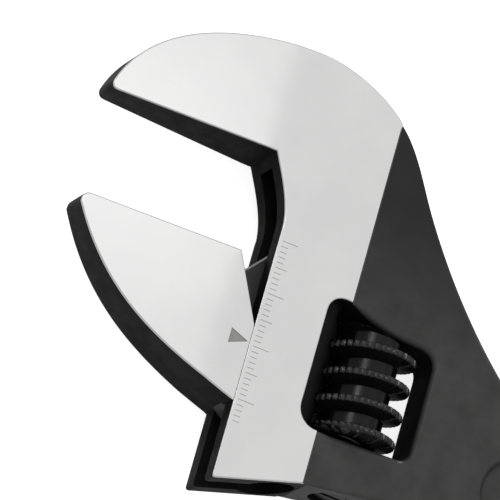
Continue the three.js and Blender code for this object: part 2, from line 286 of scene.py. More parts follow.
def stepped(points, steps, distances):
    """The line moved into the material. Points that would pass each other at a corner share a place."""
    count = len(points)
    moved = [p + s * d for p, s, d in zip(points, steps, distances)]
    places = list(moved)
    runs = [(points[(i + 1) % count] - p).normalized() for i, p in enumerate(points)]
    bend = [1 - runs[i].dot(runs[i - 1]) for i in range(count)]
    leader = list(range(count))
    changed = True
    while changed:
        changed = False
        for i in range(count):
            j = (i + 1) % count
            if leader[i] != leader[j] and (moved[j] - moved[i]).dot(runs[i]) < 1e-3:
                a, b = leader[i], leader[j]
                chief = a if bend[a] >= bend[b] else b
                for k in range(count):
                    if leader[k] in (a, b):
                        leader[k] = chief
                        moved[k] = places[chief]
                changed = True
    return moved, leader


def inside(point, ring):
    hit = False
    x, y = point
    j = len(ring) - 1
    for i in range(len(ring)):
        xi, yi = ring[i]
        xj, yj = ring[j]
        if (yi > y) != (yj > y) and x < (xj - xi) * (y - yi) / (yj - yi) + xi:
            hit = not hit
        j = i
    return hit


class Plate:
    """A plate with rounded edges: walls and rims in rows along each line, flats filled between them."""

    def __init__(self, height):
        self.height = height
        self.verts = []
        self.faces = []
        self.tones = []
        self.flat_points = []
        self.flat_edges = []
        self.flat_ids = []
        self.limits = []

    def add(self, point, drop):
        """A pair of points, above and below the middle plane. Gives the index of the upper one."""
        z = self.height(point.x) - drop
        self.verts.append((point.x, point.y, MID + z))
        self.verts.append((point.x, point.y, MID - z))
        return len(self.verts) - 2

    def add_row(self, points, steps, distances, drops):
        """One row of paired points along a line. Gives their indices and the line without repeats."""
        moved, leader = stepped(points, steps, distances)
        ids, row, line = {}, [], []
        for i, chief in enumerate(leader):
            if chief not in ids:
                ids[chief] = self.add(moved[i], drops[chief])
            row.append(ids[chief])
            if leader[i - 1] != chief or i == 0:
                line.append((ids[chief], moved[i]))
        if len(line) > 1 and line[0][0] == line[-1][0]:
            line.pop()
        return row, line

    def face(self, corners, tone, flip):
        ring = [k for i, k in enumerate(corners) if k != corners[i - 1]]
        if len(ring) > 2:
            self.faces.append(tuple(ring[::-1] if flip else ring))
            self.tones.append(tone)

    def strip(self, outer, inner, tone, flip):
        """Upper and lower faces between two rows of paired points."""
        count = len(outer)
        for i in range(count):
            j = (i + 1) % count
            quad = (outer[i], outer[j], inner[j], inner[i])
            self.face(quad, tone, flip)
            self.face([k + 1 for k in quad], tone, not flip)

    def ring_to_flat(self, line):
        start = len(self.flat_points)
        self.flat_points += [point for _, point in line]
        self.flat_ids += [k for k, _ in line]
        count = len(line)
        self.flat_edges += [(start + i, start + (i + 1) % count) for i in range(count)]

    def edge(self, points, rounding, hole, pinned=()):
        """A wall along a closed line with a rounded rim above and below."""
        steps = inward(points, hole, pinned)
        radii = [rounding(p) for p in points]
        rows = []
        for k in range(ROUND_STEPS + 1):
            angle = math.pi / 2 * k / ROUND_STEPS
            distances = [r * (1 - math.cos(angle)) for r in radii]
            drops = [r * (1 - math.sin(angle)) for r in radii]
            rows.append(self.add_row(points, steps, distances, drops))
        rows.append(self.add_row(points, steps, [r + 0.12 for r in radii], [0.0] * len(points)))
        first = rows[0][0]
        for i, k in enumerate(first):
            before = first[i - 1]
            self.face((before + 1, k + 1, k, before), "wall", hole)
        for outer, inner in zip(rows, rows[1:]):
            self.strip(outer[0], inner[0], "rim", hole)
        self.ring_to_flat(rows[-1][1])
        self.limits.append(("hole" if hole else "outer", [point for _, point in rows[-1][1]]))

    def sink(self, points, profile):
        """A recess on both faces: rows step inwards and down from its outline."""
        steps = inward(points, False)
        count = len(points)
        rows = [
            self.add_row(points, steps, [reach] * count, [depth] * count) for reach, depth in profile
        ]
        for outer, inner in zip(rows, rows[1:]):
            self.strip(outer[0], inner[0], "rim", False)
        self.ring_to_flat(rows[0][1])
        self.ring_to_flat(rows[-1][1])
        brim, floor = ([point for _, point in row[1]] for row in (rows[0], rows[-1]))
        self.limits.append(("sink", brim, floor, profile[-1][1]))

    def allowed(self, point):
        for limit in self.limits:
            if limit[0] == "outer" and not inside(point, limit[1]):
                return False
            if limit[0] == "hole" and inside(point, limit[1]):
                return False
            if limit[0] == "sink" and inside(point, limit[1]) and not inside(point, limit[2]):
                return False
        return True

    def depth_at(self, point):
        for limit in self.limits:
            if limit[0] == "sink" and inside(point, limit[2]):
                return limit[3]
        return 0.0

    def crease(self, a, b, spacing=1.5):
        """A straight line that the flats must follow, between two places on the rims."""
        steps = max(1, round((b - a).length / spacing))
        ids = [self.nearest(a)]
        for i in range(1, steps):
            ids.append(self.extra(a.lerp(b, i / steps)))
        ids.append(self.nearest(b))
        self.flat_edges += list(zip(ids, ids[1:]))

    def nearest(self, point):
        known = self.flat_points
        return min(range(len(known)), key=lambda i: (known[i] - point).length_squared)

    def extra(self, point):
        self.flat_points.append(point)
        self.flat_ids.append(self.add(point, self.depth_at(point)))
        return len(self.flat_points) - 1

    def fill(self, spacing=FILL_SPACING, margin=0.8):
        """Flats of even triangles between the rims, drawn on both faces and left out of holes."""
        xs = [p.x for p in self.flat_points]
        ys = [p.y for p in self.flat_points]
        near = KDTree(len(self.flat_points))
        for i, point in enumerate(self.flat_points):
            near.insert((point.x, point.y, 0), i)
        near.balance()
        rows = int((max(ys) - min(ys)) / spacing)
        columns = int((max(xs) - min(xs)) / spacing)
        for r in range(rows):
            for c in range(columns):
                along, up = c + 0.5 + 0.5 * (r % 2), r + 0.5
                point = Vector((min(xs) + along * spacing, min(ys) + up * spacing))
                if near.find((point.x, point.y, 0))[2] > margin and self.allowed(point):
                    self.extra(point)
        net = delaunay_2d_cdt(self.flat_points, self.flat_edges, [], 0, 1e-5, True)
        points, edges, faces, origins, drawn = net[:5]
        ids = []
        for point, origin in zip(points, origins):
            ids.append(self.flat_ids[origin[0]] if origin else self.add(point, self.depth_at(point)))
        walls = {tuple(sorted(edge)) for edge, lines in zip(edges, drawn) if lines}
        for region in regions(faces, walls):
            sizes = {k: triangle_size(points, faces[k]) for k in region}
            largest = max(region, key=sizes.get)
            centre = sum((points[i] for i in faces[largest]), Vector((0, 0))) / 3
            if sum(sizes.values()) > 1e-3 and self.allowed(centre):
                for k in region:
                    upper = tuple(ids[i] for i in faces[k])
                    self.faces.append(upper)
                    self.faces.append(tuple(i + 1 for i in upper[::-1]))
                    self.tones += ["flat", "flat"]


def triangle_size(points, face):
    a, b, c = (points[i] for i in face)
    return abs((b - a).cross(c - a)) / 2


def regions(faces, walls):
    """Groups of triangles that touch each other without a drawn line between them."""
    beside = {}
    for k, face in enumerate(faces):
        for i in range(3):
            beside.setdefault(tuple(sorted((face[i], face[i - 1]))), []).append(k)
    left = set(range(len(faces)))
    while left:
        group, ahead = [], [left.pop()]
        while ahead:
            k = ahead.pop()
            group.append(k)
            face = faces[k]
            for i in range(3):
                edge = tuple(sorted((face[i], face[i - 1])))
                if edge not in walls:
                    fresh = [n for n in beside[edge] if n in left]
                    left.difference_update(fresh)
                    ahead += fresh
        yield sorted(group)


def to_frame(x, y, z):
    return Vector(((x - NECK_MIDDLE) * MM, y * MM, z * MM))


def make_object(name, verts, faces, finishes, tones):
    mesh = bpy.data.meshes.new(name)
    mesh.from_pydata([to_frame(*v) for v in verts], [], faces)
    for finish in finishes:
        mesh.materials.append(finish)
    mesh.polygons.foreach_set("material_index", tones)
    mesh.update()
    piece = bpy.data.objects.new(name, mesh)
    bpy.context.scene.collection.objects.link(piece)
    return piece


def tidy_shading(piece, degrees=32):
    mesh = piece.data
    mesh.polygons.foreach_set("use_smooth", [True] * len(mesh.polygons))
    mesh.set_sharp_from_angle(angle=math.radians(degrees))
    mesh.update()


def baked(piece):
    """Turns the evaluated piece into its plain mesh, with no modifier left."""
    graph = bpy.context.evaluated_depsgraph_get()
    mesh = bpy.data.meshes.new_from_object(piece.evaluated_get(graph))
    old = piece.data
    piece.modifiers.clear()
    piece.data = mesh
    mesh.name = piece.name
    bpy.data.meshes.remove(old)
    return piece


def join_solids(piece, other, operation):
    """Cuts, adds or keeps the common part of two closed solids, and removes the second one."""
    change = piece.modifiers.new("shape", "BOOLEAN")
    change.operation = operation
    change.solver = "MANIFOLD"
    change.object = other
    baked(piece)
    bpy.data.objects.remove(other)
    return piece


def turned(name, profile, finishes, segments=64, centre_x=WORM_X, tone=0):
    """A turned solid about an axis along Y. The profile gives radius and place, from end to end."""
    verts = [(centre_x, profile[0][1], MID)]
    for radius, y in profile:
        for i in range(segments):
            angle = 2 * math.pi * i / segments
            verts.append((centre_x + radius * math.sin(angle), y, MID + radius * math.cos(angle)))
    verts.append((centre_x, profile[-1][1], MID))
    faces = []
    for i in range(segments):
        j = (i + 1) % segments
        faces.append((0, 1 + i, 1 + j))
        for k in range(len(profile) - 1):
            a, b = 1 + k * segments, 1 + (k + 1) * segments
            faces.append((a + i, b + i, b + j, a + j))
        last = 1 + (len(profile) - 1) * segments
        faces.append((len(verts) - 1, last + j, last + i))
    piece = make_object(name, verts, faces, finishes, [tone] * len(faces))
    return outward(piece)


def slab(name, points, low, high, finishes, tone=0, chamfer=0.0, painted_glint_tone=0):
    """A closed plate with straight walls between two heights, its edges broken by any chamfer. Chamfers
    on edges that face +Y take the glint tone, a painted highlight.
    """
    count = len(points)
    line = [Vector(p) for p in points]
    if sum(a.cross(b) for a, b in zip(line, line[1:] + line[:1])) < 0:
        line.reverse()
    inner = [p + s * chamfer for p, s in zip(line, inward(line, False))]
    if chamfer:
        rows = [(inner, low), (line, low + chamfer), (line, high - chamfer), (inner, high)]
    else:
        rows = [(line, low), (line, high)]
    verts = [(p.x, p.y, z) for points_in_row, z in rows for p in points_in_row]
    faces = [tuple(range(count))[::-1], tuple(range(len(verts) - count, len(verts)))]
    tones = [tone, tone]
    for k in range(len(rows) - 1):
        for i in range(count):
            j = (i + 1) % count
            a, b = k * count, (k + 1) * count
            faces.append((a + i, a + j, b + j, b + i))
            # Chamfers along edges facing +Y get the painted highlight tone.
            faces_up = chamfer and line[j].x - line[i].x < -0.2 * (line[j] - line[i]).length
            tones.append(painted_glint_tone if faces_up and k != 1 else tone)
    return outward(make_object(name, verts, faces, finishes, tones))


def outward(piece):
    shape = bmesh.new()
    shape.from_mesh(piece.data)
    bmesh.ops.recalc_face_normals(shape, faces=shape.faces)
    shape.to_mesh(piece.data)
    shape.free()
    return piece


# Finishes


def new_group(name, inputs, outputs):
    """A shader node group: inputs are (name, type, value), outputs are (name, type)."""
    tree = bpy.data.node_groups.new(name, "ShaderNodeTree")
    for label, kind, value in inputs:
        socket = tree.interface.new_socket(label, in_out="INPUT", socket_type=kind)
        if value is not None:
            socket.default_value = value
    for label, kind in outputs:
        tree.interface.new_socket(label, in_out="OUTPUT", socket_type=kind)
    return tree, tree.nodes.new("NodeGroupInput"), tree.nodes.new("NodeGroupOutput")


def add_node(tree, kind, settings=None, **values):
    """A node with its settings, and its input sockets filled or linked by name."""
    node = tree.nodes.new(kind)
    for key, value in (settings or {}).items():
        setattr(node, key, value)
    for key, value in values.items():
        fill_socket(tree, node.inputs[key.replace("_", " ")], value)
    return node


def fill_socket(tree, socket, value):
    if isinstance(value, bpy.types.NodeSocket):
        tree.links.new(value, socket)
    else:
        socket.default_value = value


def calc(tree, operation, a, b=0.0):
    node = tree.nodes.new("ShaderNodeMath")
    node.operation = operation
    fill_socket(tree, node.inputs[0], a)
    fill_socket(tree, node.inputs[1], b)
    return node.outputs[0]


def span(tree, value, low, high, out_low=0.0, out_high=1.0):
    node = tree.nodes.new("ShaderNodeMapRange")
    for i, number in enumerate((value, low, high, out_low, out_high)):
        fill_socket(tree, node.inputs[i], number)
    return node.outputs[0]


def blend_colours(tree, mask, first, second):
    node = tree.nodes.new("ShaderNodeMix")
    node.data_type = "RGBA"
    fill_socket(tree, node.inputs[0], mask)
    fill_socket(tree, node.inputs[6], first)
    fill_socket(tree, node.inputs[7], second)
    return node.outputs[2]


FLOAT, VECTOR = "NodeSocketFloat", "NodeSocketVector"


def make_forged_grain():
    tree, given, result = new_group(
        "forged grain",
        [("Place", VECTOR, None), ("Pit Size", FLOAT, 0.9), ("Grain Size", FLOAT, 0.16)],
        [("Height", FLOAT), ("Mottle", FLOAT)],
    )
    pits = calc(tree, "DIVIDE", 1000.0, given.outputs["Pit Size"])
    fine = calc(tree, "DIVIDE", 1000.0, given.outputs["Grain Size"])
    place = given.outputs["Place"]
    coarse = add_node(tree, "ShaderNodeTexNoise", Vector=place, Scale=pits, Detail=4.0, Roughness=0.6)
    grain = add_node(tree, "ShaderNodeTexNoise", Vector=place, Scale=fine, Detail=3.0, Roughness=0.7)
    cells = add_node(tree, "ShaderNodeTexVoronoi", Vector=place, Scale=calc(tree, "MULTIPLY", pits, 1.7))
    dents = span(tree, cells.outputs["Distance"], 0.0, 0.55)
    broad = calc(tree, "MULTIPLY", coarse.outputs["Fac"], 0.5)
    mixed = calc(tree, "ADD", broad, calc(tree, "MULTIPLY", grain.outputs["Fac"], 0.3))
    tree.links.new(calc(tree, "ADD", mixed, calc(tree, "MULTIPLY", dents, 0.2)), result.inputs["Height"])
    patch = calc(tree, "MULTIPLY", pits, 0.16)
    cloud = add_node(tree, "ShaderNodeTexNoise", Vector=place, Scale=patch, Detail=5.0, Roughness=0.62)
    tree.links.new(span(tree, cloud.outputs["Fac"], 0.32, 0.68), result.inputs["Mottle"])
    return tree


# Edge mask from pointiness: lighter edges that are partly wear and partly a painted highlight.
def make_edge_wear_and_glint():
    tree, given, result = new_group(
        "edge wear",
        [
            ("Place", VECTOR, None), ("Start", FLOAT, 0.52), ("Width", FLOAT, 0.06),
            ("Break Up Size", FLOAT, 1.2),
        ],
        [("Mask", FLOAT)],
    )
    form = tree.nodes.new("ShaderNodeNewGeometry")
    patches = add_node(
        tree, "ShaderNodeTexNoise", Vector=given.outputs["Place"],
        Scale=calc(tree, "DIVIDE", 1000.0, given.outputs["Break Up Size"]), Detail=5.0, Roughness=0.7,
    )
    uneven = span(tree, patches.outputs["Fac"], 0.3, 0.7, -0.035, 0.035)
    shifted = calc(tree, "ADD", form.outputs["Pointiness"], uneven)
    end = calc(tree, "ADD", given.outputs["Start"], given.outputs["Width"])
    tree.links.new(span(tree, shifted, given.outputs["Start"], end), result.inputs["Mask"])
    return tree


def make_ground_lines():
    tree, given, result = new_group(
        "ground lines",
        [("Place", VECTOR, None), ("Line Width", FLOAT, 0.05), ("Line Length", FLOAT, 6.0)],
        [("Height", FLOAT), ("Haze", FLOAT)],
    )
    across = calc(tree, "DIVIDE", 1000.0, given.outputs["Line Width"])
    along = calc(tree, "DIVIDE", 1000.0, given.outputs["Line Length"])
    stretch = add_node(tree, "ShaderNodeCombineXYZ", X=along, Y=across, Z=along)
    place = add_node(tree, "ShaderNodeVectorMath", {"operation": "MULTIPLY"})
    tree.links.new(given.outputs["Place"], place.inputs[0])
    tree.links.new(stretch.outputs[0], place.inputs[1])
    stretched = place.outputs[0]
    lines = add_node(tree, "ShaderNodeTexNoise", Vector=stretched, Scale=1.0, Detail=3.0, Roughness=0.65)
    tree.links.new(lines.outputs["Fac"], result.inputs["Height"])
    flat = given.outputs["Place"]
    haze = add_node(tree, "ShaderNodeTexNoise", Vector=flat, Scale=60.0, Detail=6.0, Roughness=0.6)
    tree.links.new(span(tree, haze.outputs["Fac"], 0.3, 0.7), result.inputs["Haze"])
    return tree


FORGED_GRAIN = make_forged_grain()
EDGE_WEAR_AND_GLINT = make_edge_wear_and_glint()
GROUND_LINES = make_ground_lines()


def start_finish(name):
    finish = bpy.data.materials.new(name)
    finish.use_nodes = True
    tree = finish.node_tree
    tree.nodes.clear()
    shader = tree.nodes.new("ShaderNodeBsdfPrincipled")
    output = tree.nodes.new("ShaderNodeOutputMaterial")
    tree.links.new(shader.outputs[0], output.inputs[0])
    place = tree.nodes.new("ShaderNodeTexCoord").outputs["Object"]
    return finish, tree, shader, place


def use_group(tree, group, **values):
    node = tree.nodes.new("ShaderNodeGroup")
    node.node_tree = group
    for key, value in values.items():
        fill_socket(tree, node.inputs[key.replace("_", " ")], value)
    return node


def bump(tree, shader, height, depth):
    node = add_node(tree, "ShaderNodeBump", Strength=1.0, Distance=depth * MM, Height=height)
    tree.links.new(node.outputs[0], shader.inputs["Normal"])


def grey(value, warm=0.0):
    return (value * (1 + warm), value, value * (1 - warm), 1.0)


def black_finish(
    name, dark, light, worn_and_glint, roughness, grain_depth, wear_and_glint_start, pit_size=0.9, gloss=0.35, shoulder_shade=None
):
    """Black oxide: mottled and finely pitted. Its edges are lighter and more metallic, partly wear and
    partly a painted highlight; given a band in Y, painted shade makes the black darker towards the top
    of that band.
    """
    finish, tree, shader, place = start_finish(name)
    grain = use_group(tree, FORGED_GRAIN, Place=place, Pit_Size=pit_size, Grain_Size=pit_size * 0.18)
    wear = use_group(tree, EDGE_WEAR_AND_GLINT, Place=place, Start=wear_and_glint_start, Width=0.05)
    skin = blend_colours(tree, grain.outputs["Mottle"], grey(dark, 0.02), grey(light, 0.01))
    # Painted shade: across the given Y band the black fades to a fifth of its dark tone, darkest at the
    # band's top.
    if shoulder_shade:
        height = add_node(tree, "ShaderNodeSeparateXYZ", Vector=place).outputs["Y"]
        low, high = shoulder_shade
        skin = blend_colours(tree, span(tree, height, low * MM, high * MM), skin, grey(dark * 0.2))
    # Lighter, more metallic grey on sharp edges: partly wear, partly a painted highlight.
    rubbed_and_glint = wear.outputs["Mask"]
    fill_socket(tree, shader.inputs["Base Color"], blend_colours(tree, rubbed_and_glint, skin, grey(worn_and_glint)))
    rough = span(tree, grain.outputs["Mottle"], 0.0, 1.0, roughness + 0.07, roughness - 0.07)
    rough = calc(tree, "SUBTRACT", rough, calc(tree, "MULTIPLY", rubbed_and_glint, 0.12))
    fill_socket(tree, shader.inputs["Roughness"], rough)
    fill_socket(tree, shader.inputs["Metallic"], calc(tree, "MULTIPLY", rubbed_and_glint, 0.8))
    shader.inputs["Specular IOR Level"].default_value = gloss
    bump(tree, shader, grain.outputs["Height"], grain_depth)
    return finish


def bright_finish(name, dark, light, roughness, line_depth, line_width=0.05, line_length=6.0):
    """Ground and polished steel: fine lines along X, with a faint cloudy haze."""
    finish, tree, shader, place = start_finish(name)
    lines = use_group(tree, GROUND_LINES, Place=place, Line_Width=line_width, Line_Length=line_length)
    haze = lines.outputs["Haze"]
    colour = blend_colours(tree, haze, grey(dark), grey(light, 0.004))
    fill_socket(tree, shader.inputs["Base Color"], colour)
    rough = calc(tree, "ADD", roughness - 0.05, calc(tree, "MULTIPLY", lines.outputs["Height"], 0.06))
    rough = calc(tree, "ADD", rough, calc(tree, "MULTIPLY", haze, 0.05))
    fill_socket(tree, shader.inputs["Roughness"], rough)
    shader.inputs["Metallic"].default_value = 1.0
    bump(tree, shader, lines.outputs["Height"], line_depth)
    return finish


# Black oxide for the forged skin, with painted shade that darkens it from Y = -26 mm up to Y = -1 mm.
BLACK_OXIDE_SHADED = black_finish(
    "black oxide forging", 0.033, 0.050, 0.30, 0.46, 0.05, 0.60, shoulder_shade=(-26, -1)
)
# Dense black for machined walls, and also painted shade on the window's walls.
BLACK_EDGE = black_finish("black oxide machined edge", 0.004, 0.008, 0.20, 0.5, 0.02, 0.62, 0.5, 0.12)
WORM_BLACK = black_finish("black oxide knurled worm", 0.003, 0.007, 0.22, 0.26, 0.012, 0.58, 0.4, 0.5)
# A darker, less glossy copy of the worm's black oxide for its core between the ridges: painted shade.
WORM_CORE_SHADED = black_finish("black oxide worm core", 0.002, 0.004, 0.10, 0.20, 0.012, 0.7, 0.4, 0.22)
POLISHED = bright_finish("polished ground steel", 0.66, 0.72, 0.30, 0.0012)
# The etched pointer's grey, also used as a painted highlight on the web's upper chamfers.
MARK_AND_GLINT_GREY = black_finish("etched pointer", 0.30, 0.38, 0.40, 0.6, 0.01, 0.7, 0.3, 0.3)
SCALE_GREY = bright_finish("etched scale", 0.54, 0.62, 0.42, 0.002, 0.06, 0.6)
PIN_STEEL = bright_finish("blackened pin steel", 0.05, 0.08, 0.36, 0.002, 0.04, 1.0)
SPRING_WIRE = bright_finish("dark spring wire", 0.05, 0.09, 0.30, 0.002, 0.03, 0.8)

BODY_FINISHES = [BLACK_OXIDE_SHADED, BLACK_EDGE, POLISHED, MARK_AND_GLINT_GREY, SCALE_GREY]


# Pieces that follow a rule, made with geometry nodes


class Rule:
    """A geometry node tree with named inputs, used once as a modifier and turned into a mesh."""

    def __init__(self, name, inputs):
        self.tree = bpy.data.node_groups.new(name, "GeometryNodeTree")
        self.sockets = {}
        self.values = {}
        for label, kind, value in inputs:
            socket = self.tree.interface.new_socket(label, in_out="INPUT", socket_type=kind)
            self.sockets[label] = socket.identifier
            self.values[label] = value
        self.tree.interface.new_socket(
            "Geometry", in_out="OUTPUT", socket_type="NodeSocketGeometry"
        )
        self.given = self.tree.nodes.new("NodeGroupInput").outputs
        self.result = self.tree.nodes.new("NodeGroupOutput")

    def node(self, kind, settings=None, **values):
        return add_node(self.tree, kind, settings, **values)

    def calc(self, operation, a, b=0.0):
        return calc(self.tree, operation, a, b)

    def point(self, x=0.0, y=0.0, z=0.0):
        return self.node("ShaderNodeCombineXYZ", X=x, Y=y, Z=z).outputs[0]

    def laid_along_y(self, geometry):
        """Turns what was wound about Z so that it runs along Y, from its base."""
        return self.node(
            "GeometryNodeTransform", Geometry=geometry, Translation=self.given["Base"],
            Rotation=(-math.pi / 2, 0, 0),
        ).outputs[0]

    def finish(self, geometry):
        real = self.node("GeometryNodeRealizeInstances", Geometry=geometry)
        finish = self.given["Finish"]
        coat = self.node("GeometryNodeSetMaterial", Geometry=real.outputs[0], Material=finish)
        self.tree.links.new(coat.outputs[0], self.result.inputs[0])

    def make(self, name, sizes=None):
        mesh = bpy.data.meshes.new(name)
        piece = bpy.data.objects.new(name, mesh)
        bpy.context.scene.collection.objects.link(piece)
        change = piece.modifiers.new("rule", "NODES")
        change.node_group = self.tree
        for label, value in {**self.values, **(sizes or {})}.items():
            change[self.sockets[label]] = value
        return baked(piece)


MATERIAL = "NodeSocketMaterial"
INTEGER = "NodeSocketInt"


def coil_rule():
    """A wire wound along Y with even turns."""
    rule = Rule("coil spring", [
        ("Turns", FLOAT, 4.0), ("Radius", FLOAT, 3.2 * MM), ("Wire Radius", FLOAT, 0.4 * MM),
        ("Height", FLOAT, 5.1 * MM), ("Base", VECTOR, to_frame(WORM_X, SPRING_SEAT, MID)),
        ("Finish", MATERIAL, SPRING_WIRE),
    ])
    given = rule.given
    path = rule.node(
        "GeometryNodeCurveSpiral", Resolution=40, Rotations=given["Turns"],
        Start_Radius=given["Radius"], End_Radius=given["Radius"], Height=given["Height"],
    )
    wire = rule.node("GeometryNodeCurvePrimitiveCircle", Resolution=14, Radius=given["Wire Radius"])
    tube = rule.node(
        "GeometryNodeCurveToMesh", Curve=path.outputs[0], Profile_Curve=wire.outputs[0],
        Fill_Caps=True,
    )
    rule.finish(rule.laid_along_y(tube.outputs[0]))
    return rule


def thread_start(low, high):
    """Start and number of turns of a thread that runs past both ends, in phase with the jaw's teeth."""
    start = math.floor((low - THREAD_PHASE) / PITCH - 1.0) + 0.25
    turns = math.ceil((high - THREAD_PHASE) / PITCH - start + 0.5)
    return {"Turns": float(turns), "Base": to_frame(WORM_X, THREAD_PHASE + start * PITCH, MID)}


def thread_rule():
    """The worm's thread, wound along Y, with notches across its crest for the thumb."""
    first = thread_start(WORM_LOW, WORM_HIGH)
    rule = Rule("worm thread", [
        ("Pitch", FLOAT, PITCH * MM), ("Turns", FLOAT, first["Turns"]),
        ("Base", VECTOR, first["Base"]), ("Crest Radius", FLOAT, WORM_RADIUS * MM),
        ("Depth", FLOAT, THREAD_DEPTH * MM), ("Base Width", FLOAT, THREAD_BASE * MM),
        ("Crest Width", FLOAT, THREAD_CREST * MM), ("Corner", FLOAT, 0.2 * MM),
        ("Notches", FLOAT, 44.0), ("Notch Depth", FLOAT, 0.3 * MM), ("Steps", INTEGER, 264),
        ("Finish", MATERIAL, WORM_BLACK),
    ])
    given = rule.given
    crest = given["Crest Radius"]
    middle = rule.calc("SUBTRACT", crest, rule.calc("MULTIPLY", given["Depth"], 0.5))
    path = rule.node(
        "GeometryNodeCurveSpiral", Resolution=given["Steps"], Rotations=given["Turns"],
        Start_Radius=middle, End_Radius=middle,
        Height=rule.calc("MULTIPLY", given["Pitch"], given["Turns"]), Reverse=True,
    )
    upright = rule.node("GeometryNodeSetCurveNormal", {"mode": "Z_UP"}, Curve=path.outputs[0])
    section = rule.node(
        "GeometryNodeCurvePrimitiveQuadrilateral", {"mode": "TRAPEZOID"}, Height=given["Depth"],
        Bottom_Width=given["Base Width"], Top_Width=given["Crest Width"], Offset=0.0,
    )
    soft = rule.node("GeometryNodeFilletCurve", Curve=section.outputs[0], Radius=given["Corner"])
    outwards = rule.node(
        "GeometryNodeTransform", Geometry=soft.outputs[0], Rotation=(0, 0, -math.pi / 2),
    )
    ridge = rule.node(
        "GeometryNodeCurveToMesh", Curve=upright.outputs[0], Profile_Curve=outwards.outputs[0],
        Fill_Caps=True,
    )
    place = rule.node("GeometryNodeInputPosition").outputs[0]
    x, y, z = rule.node("ShaderNodeSeparateXYZ", Vector=place).outputs
    squares = rule.calc("ADD", rule.calc("MULTIPLY", x, x), rule.calc("MULTIPLY", y, y))
    radius = rule.calc("SQRT", squares)
    angle = rule.calc("ARCTAN2", y, x)
    wave = rule.calc("COSINE", rule.calc("MULTIPLY", angle, given["Notches"]))
    notch = rule.calc("POWER", rule.calc("MULTIPLY", rule.calc("ADD", wave, 1.0), 0.5), 1.6)
    crest_only = span(rule.tree, radius, rule.calc("SUBTRACT", crest, 0.9 * MM), crest)
    sink = rule.calc("MULTIPLY", rule.calc("MULTIPLY", notch, given["Notch Depth"]), crest_only)
    shrink = rule.calc("DIVIDE", rule.calc("SUBTRACT", radius, sink), radius)
    notched = rule.point(rule.calc("MULTIPLY", x, shrink), rule.calc("MULTIPLY", y, shrink), z)
    moved = rule.node("GeometryNodeSetPosition", Geometry=ridge.outputs[0], Position=notched)
    rule.finish(rule.laid_along_y(moved.outputs[0]))
    return rule


def scale_rule():
    """Short marks in a row along Y, longer at every fifth and longest at every tenth."""
    rule = Rule("scale marks", [
        ("Count", INTEGER, 35), ("Spacing", FLOAT, 1.0 * MM), ("Length", FLOAT, 1.3 * MM),
        ("Fifth Length", FLOAT, 2.2 * MM), ("Tenth Length", FLOAT, 3.0 * MM),
        ("Width", FLOAT, 0.14 * MM), ("Depth", FLOAT, 0.1 * MM),
        ("Start", VECTOR, to_frame(0.7, -15.1, 2 * MID)), ("Finish", MATERIAL, SCALE_GREY),
    ])
    given = rule.given
    down = rule.point(0.0, rule.calc("MULTIPLY", given["Spacing"], -1.0), 0.0)
    row = rule.node(
        "GeometryNodeMeshLine", Count=given["Count"], Start_Location=given["Start"], Offset=down,
    )
    size = rule.point(1.0, given["Width"], rule.calc("MULTIPLY", given["Depth"], 2.0))
    bar = rule.node("GeometryNodeMeshCube", Size=size)
    from_end = rule.node(
        "GeometryNodeTransform", Geometry=bar.outputs[0], Translation=(0.5, 0.0, 0.0),
    )
    number = rule.node("GeometryNodeInputIndex").outputs[0]
    fifth = rule.calc("COMPARE", rule.calc("MODULO", number, 5.0), 0.0)
    tenth = rule.calc("COMPARE", rule.calc("MODULO", number, 10.0), 0.0)
    short, longer, longest = (given[k] for k in ("Length", "Fifth Length", "Tenth Length"))
    extra = rule.calc("MULTIPLY", fifth, rule.calc("SUBTRACT", longer, short))
    more = rule.calc("MULTIPLY", tenth, rule.calc("SUBTRACT", longest, longer))
    length = rule.calc("ADD", short, rule.calc("ADD", extra, more))
    marks = rule.node(
        "GeometryNodeInstanceOnPoints", Points=row.outputs[0], Instance=from_end.outputs[0],
        Scale=rule.point(length, 1.0, 1.0),
    )
    rule.finish(marks.outputs[0])
    return rule


# The pieces


def body_tones(plate):
    """Ground faces are bright as far as the step, machined walls dense black, walls in the window dense
    black too as painted shade, the rest forged skin.
    """
    tones = []
    for face, kind in zip(plate.faces, plate.tones):
        x = sum(plate.verts[i][0] for i in face) / len(face)
        y = sum(plate.verts[i][1] for i in face) / len(face)
        if kind == "wall":
            # Walls in the window take the dense black as painted shade in the recess.
            shaded_window_wall = x < WINDOW_RIGHT + 1 and WINDOW_BOTTOM - 2 < y < WINDOW_TOP + 4
            tones.append(EDGE if x < STEP_HIGH + 0.6 or shaded_window_wall else SKIN)
        else:
            tones.append(BRIGHT if x < STEP_HIGH else SKIN)
    return tones


def nearest_y(points, x, low):
    """The highest or lowest place where a line passes a value of X."""
    near = [p.y for p in points if abs(p.x - x) < 1e-3]
    return min(near) if low else max(near)


